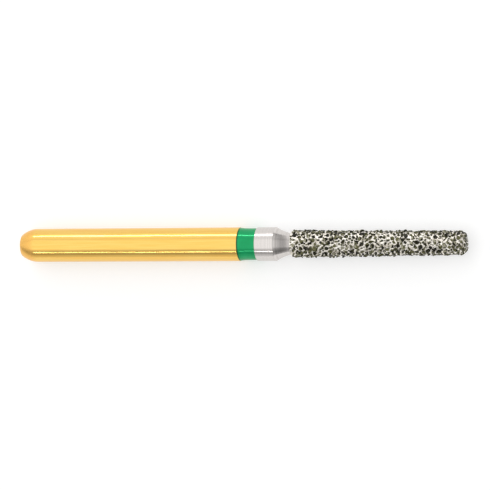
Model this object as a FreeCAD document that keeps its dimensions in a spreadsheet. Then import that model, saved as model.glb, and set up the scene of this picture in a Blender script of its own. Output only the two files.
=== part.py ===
"""Friction-grip diamond bur, lying along +X with its butt face at the origin.

Five pieces make it up: the turned steel blank, the gold plating over its
shank, the colour band in its groove, the nickel bond around the head and the
diamond grains that stand on that bond.  All lengths are in millimetres.
"""

import FreeCAD, Part
import bisect
import math
import os
import random

import Sketcher

Vector = FreeCAD.Vector

# Driving dimensions, each with the name of its cell in the sheet.
DIMENSIONS = {
    "shank_diameter": 1.6,
    "shank_length": 10.85,
    "butt_face_diameter": 1.04,
    "butt_round_radius": 1.3,
    "plating_wall": 0.025,
    "band_width": 0.86,
    "band_groove_depth": 0.16,
    "lacquer_recess": 0.045,
    "lacquer_fall": 0.005,
    "meniscus_rise": 0.03,
    "meniscus_length": 0.40,
    "collar_width": 0.90,
    "neck_length": 0.77,
    "neck_radius": 2.08,
    "head_length": 8.27,
    "head_back_diameter": 1.22,
    "head_front_diameter": 1.05,
    "head_edge_radius": 0.25,
    "bond_wall": 0.12,
    "bond_back_chamfer": 0.04,
    "core_chamfer": 0.10,
    "grain_width": 0.21,
    "small_grain_width": 0.10,
    "grain_gap": 0.005,
    "grain_height": 0.055,
}

# Stations along the axis and radii, worked out from the sheet.
SHANK_R = "Sizes.shank_diameter / 2"
BAND_START = "Sizes.shank_length"
BAND_END = f"{BAND_START} + Sizes.band_width"
COLLAR_END = f"{BAND_END} + Sizes.collar_width"
COAT_START = f"{COLLAR_END} + Sizes.neck_length"
HEAD_END = f"{COAT_START} + Sizes.head_length"
CORE_END = f"{HEAD_END} - Sizes.bond_wall"
BOND_BACK_R = "Sizes.head_back_diameter / 2"
BOND_FRONT_R = "Sizes.head_front_diameter / 2"
CORE_BACK_R = f"{BOND_BACK_R} - Sizes.bond_wall"
CORE_FRONT_R = f"{BOND_FRONT_R} - Sizes.bond_wall"

# The butt is rounded by an arc that runs tangent into the shank, so its
# centre lies below the axis, level with the end of the rounding.
ROUND_RADIUS = "Sizes.butt_round_radius"
ROUND_DROP = f"({ROUND_RADIUS} - {SHANK_R})"
ROUND_END = f"sqrt({ROUND_RADIUS} ^ 2 - (Sizes.butt_face_diameter / 2 + {ROUND_DROP}) ^ 2)"

# The plated stretch of the blank is smaller all over by the plating's wall.
PLATED_R = f"{SHANK_R} - Sizes.plating_wall"
PLATED_ROUND_RADIUS = f"({ROUND_RADIUS} - Sizes.plating_wall)"
PLATED_FACE_R = (
    f"sqrt({PLATED_ROUND_RADIUS} ^ 2 - ({ROUND_END} - Sizes.plating_wall) ^ 2)"
    f" - {ROUND_DROP}"
)

# The lacquer fills the groove to a little below the shank.  It climbs the wall
# beside the plating and falls off slightly towards the collar.
GROOVE_R = f"{SHANK_R} - Sizes.band_groove_depth"
LACQUER_R = f"{SHANK_R} - Sizes.lacquer_recess"
LACQUER_LOW_R = f"{LACQUER_R} - Sizes.lacquer_fall"
MENISCUS_R = f"{LACQUER_R} + Sizes.meniscus_rise"
MENISCUS_END = f"{BAND_START} + Sizes.meniscus_length"
MENISCUS_RADIUS = (
    "(Sizes.meniscus_length ^ 2 + Sizes.meniscus_rise ^ 2)"
    " / (2 * Sizes.meniscus_rise)"
)

# How the grains are scattered and shaped.
GRAIN_SEED = 11
GRAIN_TRIES = 24000
MERIDIAN_STEPS = 1500
LARGE_BASE_CORNERS = 5
SMALL_BASE_CORNERS = 4
TOP_CORNERS = 3
BASE_REACH = (0.88, 1.0)
TOP_REACH = (0.38, 0.70)
TOP_HEIGHT = (0.60, 1.0)
CORNER_SWING = 0.35


def make_sheet(doc):
    """Put the driving dimensions into a sheet of named cells."""
    sheet = doc.addObject("Spreadsheet::Sheet", "Sizes")
    for row, (name, value) in enumerate(DIMENSIONS.items(), start=1):
        sheet.set(f"A{row}", name)
        sheet.set(f"B{row}", str(value))
        sheet.setAlias(f"B{row}", name)
    doc.recompute()
    return sheet


def evaluate(doc, expression):
    """Work out one expression over the sheet as a plain number."""
    return float(doc.getObject("Sizes").evalExpression(expression))


def origin_feature(body, role):
    """Find one of a body's own origin planes or axes by its role."""
    return next(f for f in body.Origin.OriginFeatures if f.Role == role)


def arc_between(start, end, radius, side):
    """Make the arc of a given radius between two points of an outline."""
    chord = end - start
    reach = math.sqrt(radius ** 2 - (chord.Length / 2) ** 2)
    left = Vector(-chord.y, chord.x, 0).normalize()
    centre = (start + end) / 2 + left * reach * side
    first, last = (start, end) if side > 0 else (end, start)
    first_angle = math.atan2(first.y - centre.y, first.x - centre.x)
    last_angle = math.atan2(last.y - centre.y, last.x - centre.x)
    return Part.ArcOfCircle(Part.Circle(centre, Vector(0, 0, 1), radius), first_angle, last_angle)


def bind(sketch, kind, geometry, size, expression):
    """Hold a piece of a sketch at a size that the sheet gives."""
    if size == 0:
        axis = -2 if kind == "DistanceX" else -1
        sketch.addConstraint(Sketcher.Constraint("PointOnObject", *geometry, axis))
        return
    place = geometry if kind == "Radius" else (-1, 1, *geometry)
    number = sketch.addConstraint(Sketcher.Constraint(kind, *place, size))
    sketch.renameConstraint(number, f"size_{number}")
    sketch.setExpression(f"Constraints.size_{number}", expression)


def draw_outline(body, name, corners):
    """Draw a closed outline on a body's XY plane, bound to the sheet.

    Each corner is (station, radius) or (station, radius, bend, side), with
    expressions for the first three.  Bend is the radius of an arc that leads
    to the next corner, and its centre lies on the left (+1) or the right (-1)
    of the way there.  Without a bend the way is straight.
    """
    doc = body.Document
    sketch = body.newObject("Sketcher::SketchObject", name)
    sketch.AttachmentSupport = (origin_feature(body, "XY_Plane"), "")
    sketch.MapMode = "FlatFace"
    points = [Vector(evaluate(doc, c[0]), evaluate(doc, c[1]), 0) for c in corners]
    near_ends = []
    for index, corner in enumerate(corners):
        start = points[index]
        end = points[(index + 1) % len(points)]
        if len(corner) == 2:
            sketch.addGeometry(Part.LineSegment(start, end))
            near_ends.append(1)
        else:
            bend, side = corner[2:]
            radius = evaluate(doc, bend)
            sketch.addGeometry(arc_between(start, end, radius, side))
            bind(sketch, "Radius", (index,), radius, bend)
            near_ends.append(1 if side > 0 else 2)
    for index, corner in enumerate(corners):
        before = index - 1 if index else len(corners) - 1
        here = (index, near_ends[index])
        sketch.addConstraint(
            Sketcher.Constraint("Coincident", before, 3 - near_ends[before], *here)
        )
        bind(sketch, "DistanceX", here, points[index].x, corner[0])
        bind(sketch, "DistanceY", here, points[index].y, corner[1])
    return sketch


def turn(body, kind, name, corners):
    """Add a revolution or a groove about the tool's axis to a body."""
    sketch = draw_outline(body, f"{name}_outline", corners)
    feature = body.newObject(f"PartDesign::{kind}", name)
    feature.Profile = sketch
    feature.ReferenceAxis = (origin_feature(body, "X_Axis"), "")
    feature.Angle = 360
    body.Document.recompute()
    return feature


def dress_rim(body, kind, station, size):
    """Put a fillet or a chamfer on a turned body's outer rim at one station."""
    doc = body.Document
    place = evaluate(doc, station)
    sharp = body.Tip
    rims = [
        (edge.Curve.Radius, f"Edge{number}")
        for number, edge in enumerate(sharp.Shape.Edges, start=1)
        if isinstance(edge.Curve, Part.Circle) and abs(edge.Curve.Center.x - place) < 1e-6
    ]
    dressed = body.newObject(f"PartDesign::{kind}", f"{sharp.Name}_{kind}")
    dressed.Base = (sharp, [max(rims)[1]])
    dressed.setExpression("Radius" if kind == "Fillet" else "Size", size)
    doc.recompute()


def make_blank(doc):
    """Turn the steel blank: shank, collar, neck and the core of the head."""
    body = doc.addObject("PartDesign::Body", "Blank")
    turned = turn(body, "Revolution", "Blank_turned", [
        ("Sizes.plating_wall", "0"),
        ("Sizes.plating_wall", PLATED_FACE_R, PLATED_ROUND_RADIUS, -1),
        (ROUND_END, PLATED_R),
        (BAND_START, PLATED_R),
        (BAND_START, SHANK_R),
        (COLLAR_END, SHANK_R, "Sizes.neck_radius", 1),
        (COAT_START, CORE_BACK_R),
        (CORE_END, CORE_FRONT_R),
        (CORE_END, "0"),
    ])
    before = turned.Shape.Volume
    grooved = turn(body, "Groove", "Blank_band_groove", [
        (BAND_START, GROOVE_R),
        (BAND_START, "Sizes.shank_diameter"),
        (BAND_END, "Sizes.shank_diameter"),
        (BAND_END, GROOVE_R),
    ])
    if grooved.Shape.Volume >= before:
        raise RuntimeError("the band groove took nothing off the blank")
    dress_rim(body, "Chamfer", CORE_END, "Sizes.core_chamfer")
    body.Label = "steel_blank"
    return body


def make_skin(doc, name, form, blank):
    """Hollow a turned form by the blank, so that it fits over it as a skin."""
    skin = doc.addObject("Part::Cut", name)
    skin.Base = form
    skin.Tool = blank
    doc.recompute()
    return skin


def make_plating(doc, blank):
    """Lay the gold plating over the butt and the shank."""
    form = doc.addObject("PartDesign::Body", "Plating_form")
    turn(form, "Revolution", "Plating_turned", [
        ("0", "0"),
        ("0", "Sizes.butt_face_diameter / 2", ROUND_RADIUS, -1),
        (ROUND_END, SHANK_R),
        (BAND_START, SHANK_R),
        (BAND_START, "0"),
    ])
    plating = make_skin(doc, "Plating", form, blank)
    plating.Label = "gold_plating"
    return plating


def make_band(doc):
    """Fill the groove with coloured lacquer that climbs the wall beside the plating."""
    body = doc.addObject("PartDesign::Body", "Band")
    turn(body, "Revolution", "Band_turned", [
        (BAND_START, GROOVE_R),
        (BAND_START, MENISCUS_R, MENISCUS_RADIUS, 1),
        (MENISCUS_END, LACQUER_R),
        (BAND_END, LACQUER_LOW_R),
        (BAND_END, GROOVE_R),
    ])
    body.Label = "colour_band"
    return body


def make_bond(doc, blank):
    """Wrap the core of the head in its wall of nickel."""
    form = doc.addObject("PartDesign::Body", "Bond_form")
    turn(form, "Revolution", "Bond_turned", [
        (COAT_START, "0"),
        (COAT_START, BOND_BACK_R),
        (HEAD_END, BOND_FRONT_R),
        (HEAD_END, "0"),
    ])
    dress_rim(form, "Fillet", HEAD_END, "Sizes.head_edge_radius")
    dress_rim(form, "Chamfer", COAT_START, "Sizes.bond_back_chamfer")
    bond = make_skin(doc, "Bond", form, blank)
    bond.Label = "nickel_bond"
    return bond


class Meridian:
    """The line from the back of the bond to the middle of its flat end.

    It runs along the taper, round the front edge and in to the axis, and it
    can be walked by the area of bond that has been passed.
    """

    def __init__(self, doc):
        """Read the sizes of the bond's outer face from the sheet."""
        back_x = evaluate(doc, COAT_START)
        end_x = evaluate(doc, HEAD_END)
        back_r = evaluate(doc, BOND_BACK_R)
        front_r = evaluate(doc, BOND_FRONT_R)
        edge = evaluate(doc, "Sizes.head_edge_radius")
        self.slope = math.atan2(back_r - front_r, end_x - back_x)
        self.edge = edge
        self.centre_x = end_x - edge
        self.centre_r = front_r + edge * math.tan(self.slope) - edge / math.cos(self.slope)
        self.start_x = back_x + evaluate(doc, "Sizes.bond_back_chamfer")
        self.taper = (self.centre_x + edge * math.sin(self.slope) - self.start_x) / math.cos(self.slope)
        self.bend = edge * (math.pi / 2 - self.slope)
        self.length = self.taper + self.bend + self.centre_r
        self.step = self.length / MERIDIAN_STEPS
        self.area = [0.0]
        for index in range(MERIDIAN_STEPS):
            radius = self.at((index + 0.5) * self.step)[1]
            self.area.append(self.area[-1] + 2 * math.pi * radius * self.step)

    def at(self, way):
        """Give station, radius and the normal's lean from the radial way."""
        if way < self.taper:
            left = self.taper - way
            x = self.centre_x + self.edge * math.sin(self.slope) - left * math.cos(self.slope)
            r = self.centre_r + self.edge * math.cos(self.slope) + left * math.sin(self.slope)
            return x, r, self.slope
        lean = min(self.slope + (way - self.taper) / self.edge, math.pi / 2)
        inward = max(way - self.taper - self.bend, 0.0)
        x = self.centre_x + self.edge * math.sin(lean)
        r = self.centre_r + self.edge * math.cos(lean) - inward
        return x, r, lean

    def at_share(self, share):
        """Give the same for the place where a share of the area is passed."""
        wanted = share * self.area[-1]
        return self.at(bisect.bisect_left(self.area, wanted) * self.step)


def scatter_grains(doc, rng):
    """Scatter seats for the grains over the bond, the large grains first.

    A try is kept where its grain clears all the grains that lie already.
    """
    meridian = Meridian(doc)
    large = evaluate(doc, "Sizes.grain_width")
    small = evaluate(doc, "Sizes.small_grain_width")
    gap = evaluate(doc, "Sizes.grain_gap")
    reach = max(large, small) + gap
    shelves = {}
    seats = []
    for turn_number in range(GRAIN_TRIES):
        x, r, lean = meridian.at_share(rng.random())
        angle = rng.uniform(0, 2 * math.pi)
        width = large + (small - large) * turn_number / GRAIN_TRIES
        if lean == meridian.slope and x < meridian.start_x + width / 2:
            continue
        y = r * math.cos(angle)
        z = r * math.sin(angle)
        shelf = int(x / reach)
        near = [n for s in (shelf - 1, shelf, shelf + 1) for n in shelves.get(s, ())]
        if any(
            math.dist((x, y, z), spot) < (width + other) / 2 + gap
            for spot, other in near
        ):
            continue
        shelves.setdefault(shelf, []).append(((x, y, z), width))
        normal = Vector(
            math.sin(lean), math.cos(lean) * math.cos(angle), math.cos(lean) * math.sin(angle)
        )
        seats.append((Vector(x, y, z), normal, Vector(0, -math.sin(angle), math.cos(angle)), width))
    return seats


def ring_of_corners(rng, count, seat, reach, heights):
    """Set corners around a seat, as (angle, point) by rising angle."""
    middle, normal, across, width = seat
    along = normal.cross(across)
    start = rng.uniform(0, 2 * math.pi / count)
    ring = []
    for index in range(count):
        swing = rng.uniform(-CORNER_SWING, CORNER_SWING)
        angle = start + (index + swing) * 2 * math.pi / count
        out = width / 2 * rng.uniform(*reach)
        level = rng.uniform(*heights)
        ring.append((
            angle,
            middle + across * out * math.cos(angle) + along * out * math.sin(angle) + normal * level,
        ))
    return ring


def facet(*corners):
    """Make one flat facet of a grain, its corners listed anticlockwise from outside."""
    return Part.Face(Part.makePolygon([*corners, corners[0]]))


def make_grain(rng, seat, height, corners):
    """Cut one grain: a flat underside, a small top facet and slanted sides."""
    base = ring_of_corners(rng, corners, seat, BASE_REACH, (0, 0))
    top = ring_of_corners(
        rng, TOP_CORNERS, seat, TOP_REACH, [height * share for share in TOP_HEIGHT]
    )
    facets = [
        facet(*[point for _, point in reversed(base)]),
        facet(*[point for _, point in top]),
    ]
    low = base[-1][1]
    high = top[-1][1]
    steps = [(angle, 0, point) for angle, point in base] + [(angle, 1, point) for angle, point in top]
    for _, level, point in sorted(steps, key=lambda step: step[0]):
        facets.append(facet(low, point, high))
        if level:
            high = point
        else:
            low = point
    return Part.Solid(Part.Shell(facets))


def make_grit(doc):
    """Seat the diamond grains on the bond, each one a crystal of its own."""
    rng = random.Random(GRAIN_SEED)
    height = evaluate(doc, "Sizes.grain_height")
    middling = (evaluate(doc, "Sizes.grain_width") + evaluate(doc, "Sizes.small_grain_width")) / 2
    grains = []
    for seat in scatter_grains(doc, rng):
        corners = LARGE_BASE_CORNERS if seat[3] > middling else SMALL_BASE_CORNERS
        grains.append(make_grain(rng, seat, height, corners))
    grit = doc.addObject("Part::Feature", "Grit")
    grit.Shape = Part.Compound(grains)
    grit.Placement = FreeCAD.Placement()
    grit.Label = "diamond_grit"
    return grit


def check(doc, pieces):
    """Stop when an object failed or a piece has no valid shape."""
    for thing in doc.Objects:
        if {"Invalid", "Error"} & set(thing.State):
            raise RuntimeError(f"{thing.Label} is {thing.State}")
    for piece in pieces:
        if piece.Shape.isNull() or not piece.Shape.isValid():
            raise RuntimeError(f"{piece.Label} has no valid shape")


def main():
    """Build the bur and write each piece to its own file."""
    doc = FreeCAD.newDocument("diamond_bur")
    make_sheet(doc)
    blank = make_blank(doc)
    pieces = [
        blank,
        make_plating(doc, blank),
        make_band(doc),
        make_bond(doc, blank),
        make_grit(doc),
    ]
    doc.recompute()
    check(doc, pieces)
    os.makedirs("parts", exist_ok=True)
    for piece in pieces:
        piece.Shape.exportStep(f"parts/{piece.Label}.step")
        print(piece.Label, len(piece.Shape.Solids), "solids", round(piece.Shape.Volume, 4), "mm3")


main()
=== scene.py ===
"""A diamond dental bur, laid on a pale table under soft studio light.

The bur lies along +X with its butt face at the origin.  Its turned blank, gold
plating, lacquer band, nickel bond and diamond grains are each rebuilt as a fine
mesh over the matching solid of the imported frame.  Lengths are in metres.
"""

import logging
import math
import random
from dataclasses import dataclass
from enum import Enum
from typing import ClassVar, Sequence, Union

import bmesh
import bpy
import numpy as np
from mathutils import Matrix, Quaternion, Vector, noise
from mathutils.kdtree import KDTree

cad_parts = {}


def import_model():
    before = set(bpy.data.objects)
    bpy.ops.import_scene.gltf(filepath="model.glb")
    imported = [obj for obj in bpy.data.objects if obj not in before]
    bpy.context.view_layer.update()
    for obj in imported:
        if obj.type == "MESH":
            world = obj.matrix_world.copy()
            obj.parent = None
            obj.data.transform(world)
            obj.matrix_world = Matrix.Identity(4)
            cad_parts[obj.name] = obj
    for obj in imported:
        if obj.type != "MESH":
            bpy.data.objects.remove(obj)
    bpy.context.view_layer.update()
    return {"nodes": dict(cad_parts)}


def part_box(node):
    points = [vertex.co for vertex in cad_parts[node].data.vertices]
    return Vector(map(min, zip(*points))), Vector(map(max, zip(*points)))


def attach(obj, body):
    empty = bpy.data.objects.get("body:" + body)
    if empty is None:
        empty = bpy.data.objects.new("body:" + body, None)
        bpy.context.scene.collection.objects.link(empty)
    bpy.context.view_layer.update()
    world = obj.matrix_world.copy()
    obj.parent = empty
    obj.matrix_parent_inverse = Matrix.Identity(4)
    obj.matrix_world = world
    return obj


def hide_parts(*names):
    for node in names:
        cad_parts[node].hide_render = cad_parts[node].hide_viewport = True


LOG = logging.getLogger("bur")
MM = 0.001
BODY = "root"
SAME_POINT = 0.0001 * MM
NOISE_LOW, NOISE_HIGH = 0.3, 0.7

Outline = list[tuple[float, float]]
Colour = tuple[float, float, float, float]
Scale = tuple[float, float, float]
Range = tuple[float, float]
Stops = tuple[tuple[float, float], ...]
Socket = bpy.types.NodeSocket
SocketValue = Union[float, Colour, Scale, Socket]
Sockets = dict[Union[str, int], SocketValue]


@dataclass(frozen=True)
class Corner:
    """One corner of a turned outline.

    Attributes:
        x: Station along the bur's axis.
        r: Distance from the axis.
        edge: How far the corner is rounded back along both of its sides.
        bend: Radius of the arc that leads to the next corner, or 0 for a straight way.
        side: +1 when that arc's centre lies left of the way, -1 when it lies right.
    """

    x: float
    r: float
    edge: float = 0.0
    bend: float = 0.0
    side: int = 1


class Ends(Enum):
    """How a turned outline closes."""

    AXIS = "it starts and ends on the axis"
    RING = "its last point leads back to its first"


@dataclass(frozen=True)
class Lathe:
    """Turns outlines about the bur's axis into meshes.

    Attributes:
        segments: Number of steps around the axis.
        arc_steps: Number of steps along each arc of an outline.
        edge_steps: Number of steps around each rounded corner.
        edge_share: Greatest share of a side that a rounded corner takes up.
        sharp_over: Edges that bend by more than this many degrees stay sharp.
    """

    segments: int = 256
    arc_steps: int = 28
    edge_steps: int = 4
    edge_share: float = 0.45
    sharp_over: float = 35.0

    def trace(self, corners: Sequence[Corner], ends: Ends) -> Outline:
        """Walk an outline and lay points along its arcs and rounded corners.

        Args:
            corners: The outline's corners in order.
            ends: How the outline closes.

        Returns:
            The (station, radius) points of the outline.
        """
        way: list[tuple[float, float, float]] = []
        for index, corner in enumerate(corners):
            way.append((corner.x, corner.r, corner.edge))
            if corner.bend:
                following = corners[(index + 1) % len(corners)]
                way.extend((x, r, 0.0) for x, r in self.arc(corner, following))
        points: Outline = []
        for index, (x, r, edge) in enumerate(way):
            if not edge:
                points.append((x, r))
                continue
            here = Vector((x, r))
            before = Vector(way[index - 1][:2])
            after = Vector(way[(index + 1) % len(way)][:2])
            points.extend(self.round_off(before, here, after, edge))
        if ends is Ends.AXIS:
            points[0] = (points[0][0], 0.0)
            points[-1] = (points[-1][0], 0.0)
        return points

    def arc(self, start: Corner, end: Corner) -> Outline:
        """Lay points along the arc between two corners, both left out.

        Args:
            start: The corner that the arc leaves, which holds its radius and side.
            end: The corner that the arc reaches.

        Returns:
            The points between them.
        """
        first = Vector((start.x, start.r))
        last = Vector((end.x, end.r))
        chord = last - first
        reach = math.sqrt(start.bend**2 - (chord.length / 2) ** 2)
        left = Vector((-chord.y, chord.x)).normalized()
        centre = (first + last) / 2 + left * reach * start.side
        begin = math.atan2(first.y - centre.y, first.x - centre.x)
        sweep = math.atan2(last.y - centre.y, last.x - centre.x) - begin
        sweep = (sweep + math.pi) % (2 * math.pi) - math.pi
        angles = [begin + sweep * step / self.arc_steps for step in range(1, self.arc_steps)]
        return [
            (centre.x + start.bend * math.cos(a), centre.y + start.bend * math.sin(a))
            for a in angles
        ]

    def round_off(self, before: Vector, here: Vector, after: Vector, edge: float) -> Outline:
        """Round one corner with a short curve.

        Args:
            before: The point before the corner.
            here: The corner.
            after: The point after the corner.
            edge: How far the curve reaches back along both sides.

        Returns:
            The points of the curve.
        """
        reach_back = min(edge, (before - here).length * self.edge_share)
        reach_on = min(edge, (after - here).length * self.edge_share)
        start = here + (before - here).normalized() * reach_back
        end = here + (after - here).normalized() * reach_on
        curve = []
        for step in range(self.edge_steps + 1):
            t = step / self.edge_steps
            point = start * (1 - t) ** 2 + here * 2 * t * (1 - t) + end * t**2
            curve.append((point.x, point.y))
        return curve

    def turn(self, name: str, corners: Sequence[Corner], ends: Ends) -> bpy.types.Object:
        """Turn an outline into a piece.

        Args:
            name: The piece's name.
            corners: The outline's corners in order.
            ends: How the outline closes.

        Returns:
            The piece, shaded smooth but for its sharp edges.
        """
        outline = self.trace(corners, ends)
        points: list[tuple[float, float, float]] = []
        rings: list[list[int]] = []
        for x, r in outline:
            start = len(points)
            if r == 0.0:
                points.append((x, 0.0, 0.0))
                rings.append([start] * self.segments)
                continue
            points.extend(ring(x, r, self.segments))
            rings.append(list(range(start, start + self.segments)))
        if ends is Ends.RING:
            rings.append(rings[0])
        return make_piece(name, points, join(rings), self.sharp_over)


def ring(x: float, r: float, count: int) -> list[tuple[float, float, float]]:
    """Lay a number of points in a ring of radius r about the bur's axis at station x."""
    angles = [2 * math.pi * step / count for step in range(count)]
    return [(x, r * math.cos(a), r * math.sin(a)) for a in angles]


def join(rings: Sequence[Sequence[int]]) -> list[list[int]]:
    """Join rings of points by faces, each ring to the next.

    Args:
        rings: Point numbers of the rings, all the same where a ring is one point.

    Returns:
        The faces, each a list of point numbers.
    """
    faces = []
    for low, high in zip(rings, rings[1:]):
        for step in range(len(low)):
            after = (step + 1) % len(low)
            corners = [low[step], low[after], high[after], high[step]]
            faces.append(list(dict.fromkeys(corners)))
    return faces


def add_object(
    name: str, data: Union[bpy.types.Mesh, bpy.types.Light, bpy.types.Camera]
) -> bpy.types.Object:
    """Add an object to the scene.

    Args:
        name: The object's name.
        data: What it shows.

    Returns:
        The object.
    """
    added = bpy.data.objects.new(name, data)
    bpy.context.scene.collection.objects.link(added)
    return added


def make_piece(
    name: str,
    points: Sequence[Sequence[float]],
    faces: Sequence[Sequence[int]],
    sharp_over: float = 0.0,
) -> bpy.types.Object:
    """Make an object of points and faces, with its faces turned outwards.

    Args:
        name: The object's name.
        points: The places of its points.
        faces: Its faces, as lists of point numbers.
        sharp_over: Edges that bend by more than this many degrees stay sharp, and 0
            leaves every face flat.

    Returns:
        The object, linked to the scene.
    """
    mesh = bpy.data.meshes.new(name)
    mesh.from_pydata(points, [], faces)
    work = bmesh.new()
    work.from_mesh(mesh)
    bmesh.ops.recalc_face_normals(work, faces=work.faces)
    work.to_mesh(mesh)
    work.free()
    if sharp_over:
        mesh.shade_smooth()
        mesh.set_sharp_from_angle(angle=math.radians(sharp_over))
    return add_object(name, mesh)


def seat(piece: bpy.types.Object, node: str, finish: "Finish") -> bpy.types.Object:
    """Dress a piece and put it in the place of a solid of the frame.

    Args:
        piece: The piece.
        node: The solid that it stands for.
        finish: The finish that it is given.

    Returns:
        The same piece.
    """
    piece.data.materials.append(finish.material())
    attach(piece, BODY)
    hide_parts(node)
    count = sum(len(face.vertices) - 2 for face in piece.data.polygons)
    LOG.info("%s stands for %s with %d triangles", piece.name, node, count)
    return piece


class Board:
    """Adds shader nodes to one tree and wires them up."""

    def __init__(self, tree: bpy.types.NodeTree) -> None:
        """Take over a tree and clear it."""
        self.tree = tree
        tree.nodes.clear()

    def add(
        self, kind: str, sockets: Sockets, **settings: Union[str, bool, float]
    ) -> bpy.types.Node:
        """Add a node.

        Args:
            kind: The node's type without its ShaderNode prefix.
            sockets: A value, or a socket to link from, for each input by name or number.
            **settings: The node's own properties.

        Returns:
            The node.
        """
        node = self.tree.nodes.new(f"ShaderNode{kind}")
        for name, value in settings.items():
            setattr(node, name, value)
        for key, value in sockets.items():
            if isinstance(value, Socket):
                self.tree.links.new(value, node.inputs[key])
            else:
                node.inputs[key].default_value = value
        return node

    def ramp(self, factor: Socket, stops: Sequence[tuple[float, Colour]]) -> Socket:
        """Add a colour ramp.

        Args:
            factor: The socket that drives it.
            stops: Places from 0 to 1 with their colours, in order.

        Returns:
            The ramp's colour socket.
        """
        node = self.add("ValToRGB", {"Fac": factor})
        elements = node.color_ramp.elements
        for place, _ in stops[2:]:
            elements.new(place)
        for element, (place, colour) in zip(elements, stops):
            element.position = place
            element.color = colour
        return node.outputs["Color"]

    def math(self, operation: str, first: SocketValue, second: SocketValue = 0.0) -> Socket:
        """Add a math node and return its result."""
        return self.add("Math", {0: first, 1: second}, operation=operation).outputs[0]

    def mix(
        self, factor: SocketValue, first: SocketValue, second: SocketValue, blend: str = "MIX"
    ) -> Socket:
        """Lay a share of the second colour over the first."""
        # Sockets 6 and 7 of the node take its two colours, and socket 2 gives the result.
        sockets: Sockets = {0: factor, 6: first, 7: second}
        return self.add("Mix", sockets, data_type="RGBA", blend_type=blend).outputs[2]

    def speckle(self, cells: Scale, detail: float) -> Socket:
        """Add noise that is stretched along the axes.

        Args:
            cells: How many cells of noise go to the metre along each axis.
            detail: Octaves of finer noise.

        Returns:
            The noise's value.
        """
        place = self.add("TexCoord", {}).outputs["Object"]
        vector = self.add("Mapping", {"Vector": place, "Scale": cells}).outputs["Vector"]
        return self.add("TexNoise", {"Vector": vector, "Scale": 1.0, "Detail": detail}).outputs[0]

    def cloud(self, per_mm: float, detail: float) -> Socket:
        """Add even noise with a number of cells to the millimetre."""
        return self.speckle((per_mm / MM,) * 3, detail)

    def rings(self, pitch: float, detail: float) -> Socket:
        """Add noise that runs in rings about the bur's axis, as a lathe leaves.

        Args:
            pitch: Rough distance from one ring to the next.
            detail: Octaves of finer rings.

        Returns:
            The noise's value.
        """
        parts = self.parts("Object")
        across = self.add("CombineXYZ", {"Y": parts["Y"], "Z": parts["Z"]}).outputs[0]
        radius = self.add("VectorMath", {0: across}, operation="LENGTH").outputs["Value"]
        way = self.math("ADD", parts["X"], radius)
        tool = self.add(
            "TexNoise", {"W": way, "Scale": 1 / pitch, "Detail": detail}, noise_dimensions="1D"
        )
        return tool.outputs[0]

    def parts(self, coordinates: str) -> bpy.types.bpy_prop_collection:
        """Split one kind of texture coordinates into X, Y and Z."""
        place = self.add("TexCoord", {}).outputs[coordinates]
        return self.add("SeparateXYZ", {"Vector": place}).outputs

    def tint(self, value: Socket, first: Colour, second: Colour, blend: Range) -> Socket:
        """Colour a noise, changing from the first to the second over part of its range."""
        return self.ramp(self.spread(value, 0.0, 1.0), list(zip(blend, (first, second))))

    def step(self, value: Socket, zero: float, one: float) -> Socket:
        """Climb from 0 to 1 while a value goes from one level to another."""
        return self.add("MapRange", {"Value": value, "From Min": zero, "From Max": one}).outputs[0]

    def spread(self, value: Socket, low: float, high: float) -> Socket:
        """Spread the middle of a noise over a range."""
        span = {"From Min": NOISE_LOW, "From Max": NOISE_HIGH, "To Min": low, "To Max": high}
        return self.add("MapRange", {"Value": value, **span}).outputs[0]

    def bump(self, height: Socket, depth: float, under: Union[Socket, None] = None) -> Socket:
        """Add relief of a given depth, over any relief under it.

        Args:
            height: The relief's height, from 0 to 1.
            depth: The depth that a height of 1 stands for.
            under: The normal of relief that was added before.

        Returns:
            The normal socket.
        """
        sockets: Sockets = {"Height": height, "Distance": depth}
        if under:
            sockets["Normal"] = under
        return self.add("Bump", {"Strength": 1.0, **sockets}).outputs["Normal"]

    def surface(self, sockets: Sockets) -> None:
        """Lead a principled shader with these inputs to the output."""
        self.output(self.add("BsdfPrincipled", sockets).outputs[0])

    def output(self, shader: Socket) -> None:
        """Lead a shader to the output."""
        self.add("OutputMaterial", {"Surface": shader})


@dataclass(frozen=True)
class Finish:
    """A surface finish.

    Attributes:
        title: The material's name.
    """

    title: str

    def material(self) -> bpy.types.Material:
        """Make the material, unless it is there.

        Returns:
            The material.
        """
        known = bpy.data.materials.get(self.title)
        if known:
            return known
        made = bpy.data.materials.new(self.title)
        made.use_nodes = True
        self.paint(Board(made.node_tree))
        return made

    def paint(self, board: Board) -> None:
        """Wire the finish's shader."""
        raise NotImplementedError


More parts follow.
